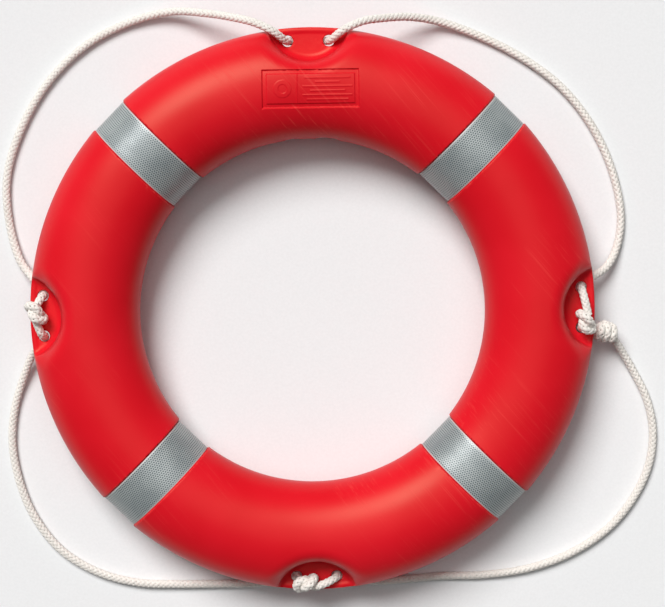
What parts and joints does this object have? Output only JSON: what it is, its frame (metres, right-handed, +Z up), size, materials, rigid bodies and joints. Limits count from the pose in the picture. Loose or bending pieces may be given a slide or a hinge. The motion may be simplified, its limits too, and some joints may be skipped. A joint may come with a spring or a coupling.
{
  "type": "ring lifebuoy",
  "caption": "Rigid ring lifebuoy with reflective tapes and a knotted grab line laced through rope pockets around its rim.",
  "frame": {"origin": "under the centre of the ring, on the surface it lies on", "axes": "+Z up along the ring's axis; +Y towards the label panel"},
  "size_m": [0.8466, 0.7578, 0.11],
  "materials": {
    "shell_plastic": "satin moulded polyethylene, orange-red",
    "foam": "closed-cell polyurethane foam, pale yellow",
    "reflective_tape": "silver-grey retro-reflective tape with rows of small dots",
    "plug_plastic": "moulded polyethylene, orange-red",
    "rope": "braided buoyant polypropylene rope, off-white"
  },
  "bodies": {
    "root": {"shell": "shell_plastic", "foam_core": "foam", "reflective_tape_1": "reflective_tape", "reflective_tape_2": "reflective_tape", "reflective_tape_3": "reflective_tape", "reflective_tape_4": "reflective_tape", "fill_plug": "plug_plastic", "vent_plug": "plug_plastic", "grab_line_upper": "rope", "grab_line_lower_right": "rope", "grab_line_lower_left": "rope", "knot_left": "rope", "knot_right_front": "rope", "knot_right_back": "rope", "knot_bottom": "rope"}
  },
  "joints": []
}
